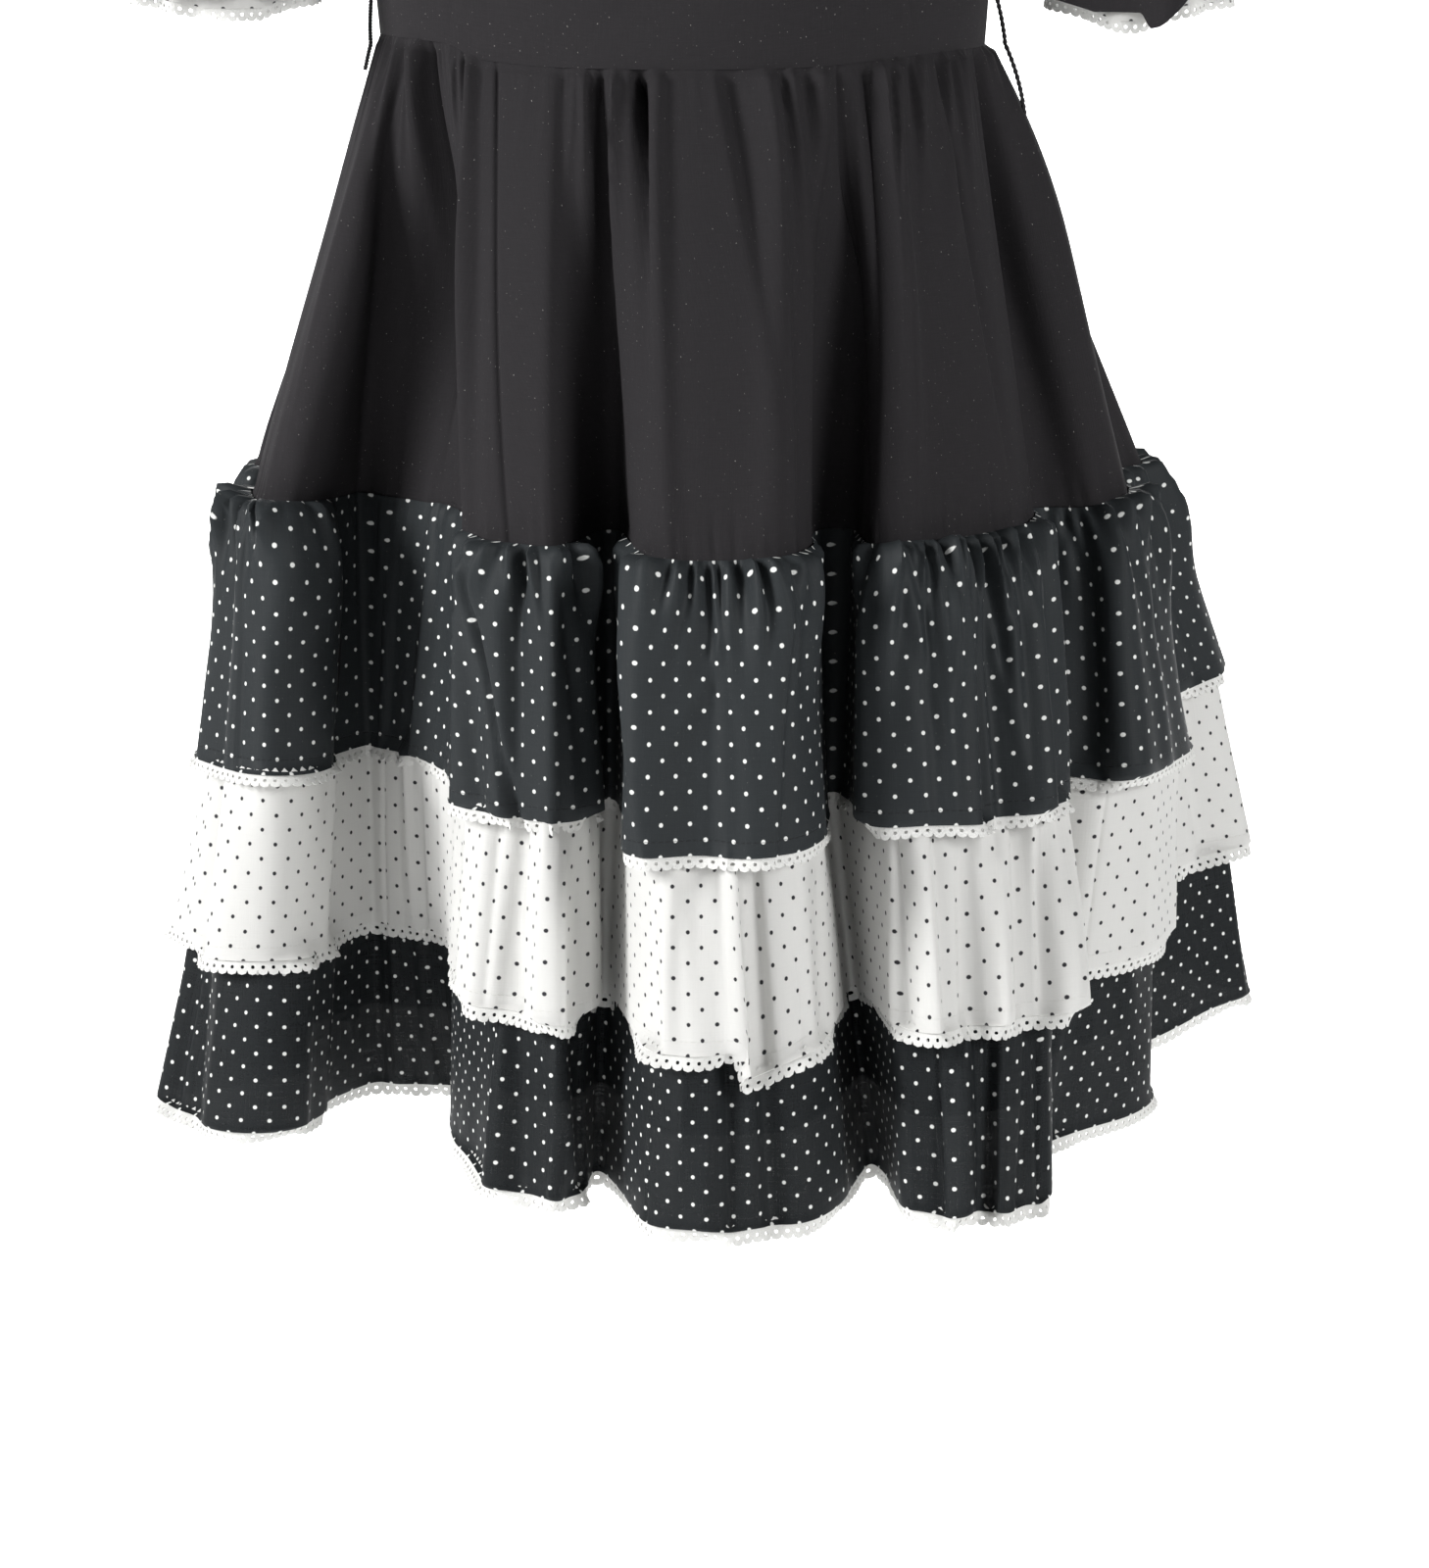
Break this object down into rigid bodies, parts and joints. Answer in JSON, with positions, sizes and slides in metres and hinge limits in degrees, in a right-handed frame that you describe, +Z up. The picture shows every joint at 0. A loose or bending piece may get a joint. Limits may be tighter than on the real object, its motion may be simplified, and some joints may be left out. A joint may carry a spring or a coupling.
{
  "type": "square dance dress",
  "caption": "Knee-length dance dress with a fitted black bodice, elbow sleeves with ruffles, and a gored skirt with gathered dotted tiers edged in white lace.",
  "frame": {"origin": "midway between the two shoulder points beside the neck, where the wearer's shoulders hold the dress up", "axes": "+Z up; -Y is the dress's front; +X is the wearer's left"},
  "size_m": [0.5711, 0.4903, 0.9142],
  "materials": {
    "black_cloth": "matte plain weave",
    "dotted_black_cloth": "slight sheen, white pin dots",
    "dotted_white_cloth": "slightly translucent, black pin dots",
    "white_lace": "matte picot lace"
  },
  "bodies": {
    "root": {"bodice_front_centre": "black_cloth", "bodice_front_left": "black_cloth", "bodice_front_right": "black_cloth", "bodice_back_left": "black_cloth", "bodice_back_right": "black_cloth", "skirt_front_centre": "black_cloth", "skirt_front_left": "black_cloth", "skirt_front_right": "black_cloth", "skirt_back_left": "black_cloth", "skirt_back_right": "black_cloth", "underskirt_front": "black_cloth", "underskirt_back": "black_cloth", "sleeve_left": "black_cloth", "sleeve_right": "black_cloth", "sleeve_ruffle_left": "black_cloth", "sleeve_ruffle_right": "black_cloth", "belt_loop_left": "black_cloth", "belt_loop_right": "black_cloth", "ruffle_upper_1": "dotted_black_cloth", "ruffle_upper_2": "dotted_black_cloth", "ruffle_upper_3": "dotted_black_cloth", "ruffle_lower_1": "dotted_black_cloth", "ruffle_lower_2": "dotted_black_cloth", "ruffle_lower_3": "dotted_black_cloth", "ruffle_middle_1": "dotted_white_cloth", "ruffle_middle_2": "dotted_white_cloth", "ruffle_middle_3": "dotted_white_cloth", "sleeve_under_ruffle_left": "dotted_white_cloth", "sleeve_under_ruffle_right": "dotted_white_cloth", "lace_upper": "white_lace", "lace_middle": "white_lace", "lace_lower": "white_lace", "sleeve_lace_left": "white_lace", "sleeve_lace_right": "white_lace"}
  },
  "joints": []
}
